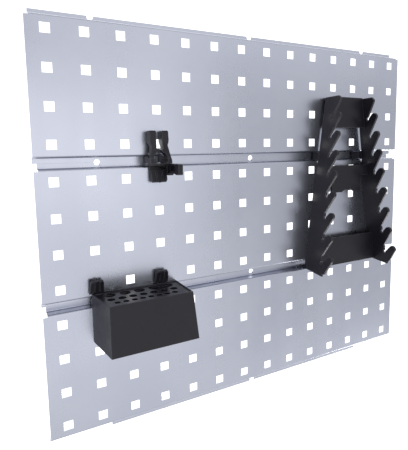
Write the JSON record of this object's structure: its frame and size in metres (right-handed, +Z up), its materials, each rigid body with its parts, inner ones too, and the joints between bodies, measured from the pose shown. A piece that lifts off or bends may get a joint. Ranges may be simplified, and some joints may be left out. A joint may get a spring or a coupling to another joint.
{
  "type": "perforated tool wall",
  "caption": "Perforated steel tool wall of stacked folded panels, with a fork holder, a bit box and a spanner rack clipped into its grooves.",
  "frame": {"origin": "middle of the middle panel, on the wall plane: the centre of the four outer screw holes", "axes": "+X to the right, +Y into the wall, +Z up"},
  "size_m": [0.532, 0.063, 0.4614],
  "materials": {
    "galvanised_steel": "galvanised sheet, satin",
    "black_plastic": "moulded, fine texture"
  },
  "bodies": {
    "wall": {"upper_panel": "galvanised_steel", "middle_panel": "galvanised_steel", "lower_panel": "galvanised_steel"},
    "fork_holder": {"fork_body": "black_plastic", "fork_hook_left": "black_plastic", "fork_hook_right": "black_plastic"},
    "fork_latch": {"fork_clip_latch": "black_plastic"},
    "fork_left_prong": {"fork_prong_left": "black_plastic"},
    "fork_right_prong": {"fork_prong_right": "black_plastic"},
    "bit_box": {"bit_box_shell": "black_plastic", "bit_box_hole_plate": "black_plastic", "bit_box_clip_foot_left": "black_plastic", "bit_box_clip_foot_right": "black_plastic"},
    "bit_box_left_latch": {"bit_box_clip_latch_left": "black_plastic"},
    "bit_box_right_latch": {"bit_box_clip_latch_right": "black_plastic"},
    "spanner_rack": {"rack_left_cheek": "black_plastic", "rack_right_cheek": "black_plastic", "rack_top_plate": "black_plastic", "rack_middle_plate": "black_plastic", "rack_bottom_plate": "black_plastic", "rack_upper_foot_left": "black_plastic", "rack_upper_foot_right": "black_plastic", "rack_clip_foot_left": "black_plastic", "rack_clip_foot_right": "black_plastic"},
    "rack_left_latch": {"rack_clip_latch_left": "black_plastic"},
    "rack_right_latch": {"rack_clip_latch_right": "black_plastic"}
  },
  "joints": [
    {"name": "fork_holder_slide", "type": "slide", "parent": "wall", "child": "fork_holder", "axis": [1, 0, 0], "range_m": [-0.1, 0.12]},
    {"name": "fork_latch_press", "type": "hinge", "parent": "fork_holder", "child": "fork_latch", "pos_m": [-0.1358, -0.0145, 0.071], "axis": [1, 0, 0], "range_deg": [0, 8], "stiffness_Nm_per_rad": 0.6},
    {"name": "fork_left_prong_spread", "type": "hinge", "parent": "fork_holder", "child": "fork_left_prong", "pos_m": [-0.1468, -0.0285, 0.0789], "axis": [0, -1, 0], "range_deg": [0, 4], "stiffness_Nm_per_rad": 0.8},
    {"name": "fork_right_prong_spread", "type": "hinge", "parent": "fork_holder", "child": "fork_right_prong", "pos_m": [-0.1248, -0.0285, 0.0789], "axis": [0, 1, 0], "range_deg": [0, 4], "stiffness_Nm_per_rad": 0.8},
    {"name": "bit_box_slide", "type": "slide", "parent": "wall", "child": "bit_box", "axis": [1, 0, 0], "range_m": [-0.04, 0.12]},
    {"name": "bit_box_left_latch_press", "type": "hinge", "parent": "bit_box", "child": "bit_box_left_latch", "pos_m": [-0.2101, -0.0145, -0.071], "axis": [-1, 0, 0], "range_deg": [0, 8], "stiffness_Nm_per_rad": 0.6},
    {"name": "bit_box_right_latch_press", "type": "hinge", "parent": "bit_box", "child": "bit_box_right_latch", "pos_m": [-0.1351, -0.0145, -0.071], "axis": [-1, 0, 0], "range_deg": [0, 8], "stiffness_Nm_per_rad": 0.6},
    {"name": "spanner_rack_slide", "type": "slide", "parent": "wall", "child": "spanner_rack", "axis": [1, 0, 0], "range_m": [-0.05, 0.04]},
    {"name": "rack_left_latch_press", "type": "hinge", "parent": "spanner_rack", "child": "rack_left_latch", "pos_m": [0.1144, -0.0145, -0.071], "axis": [-1, 0, 0], "range_deg": [0, 8], "stiffness_Nm_per_rad": 0.6},
    {"name": "rack_right_latch_press", "type": "hinge", "parent": "spanner_rack", "child": "rack_right_latch", "pos_m": [0.1824, -0.0145, -0.071], "axis": [-1, 0, 0], "range_deg": [0, 8], "stiffness_Nm_per_rad": 0.6}
  ],
  "couplings": [
    {"joint": "fork_right_prong_spread", "follows": "fork_left_prong_spread", "ratio": 1}
  ]
}
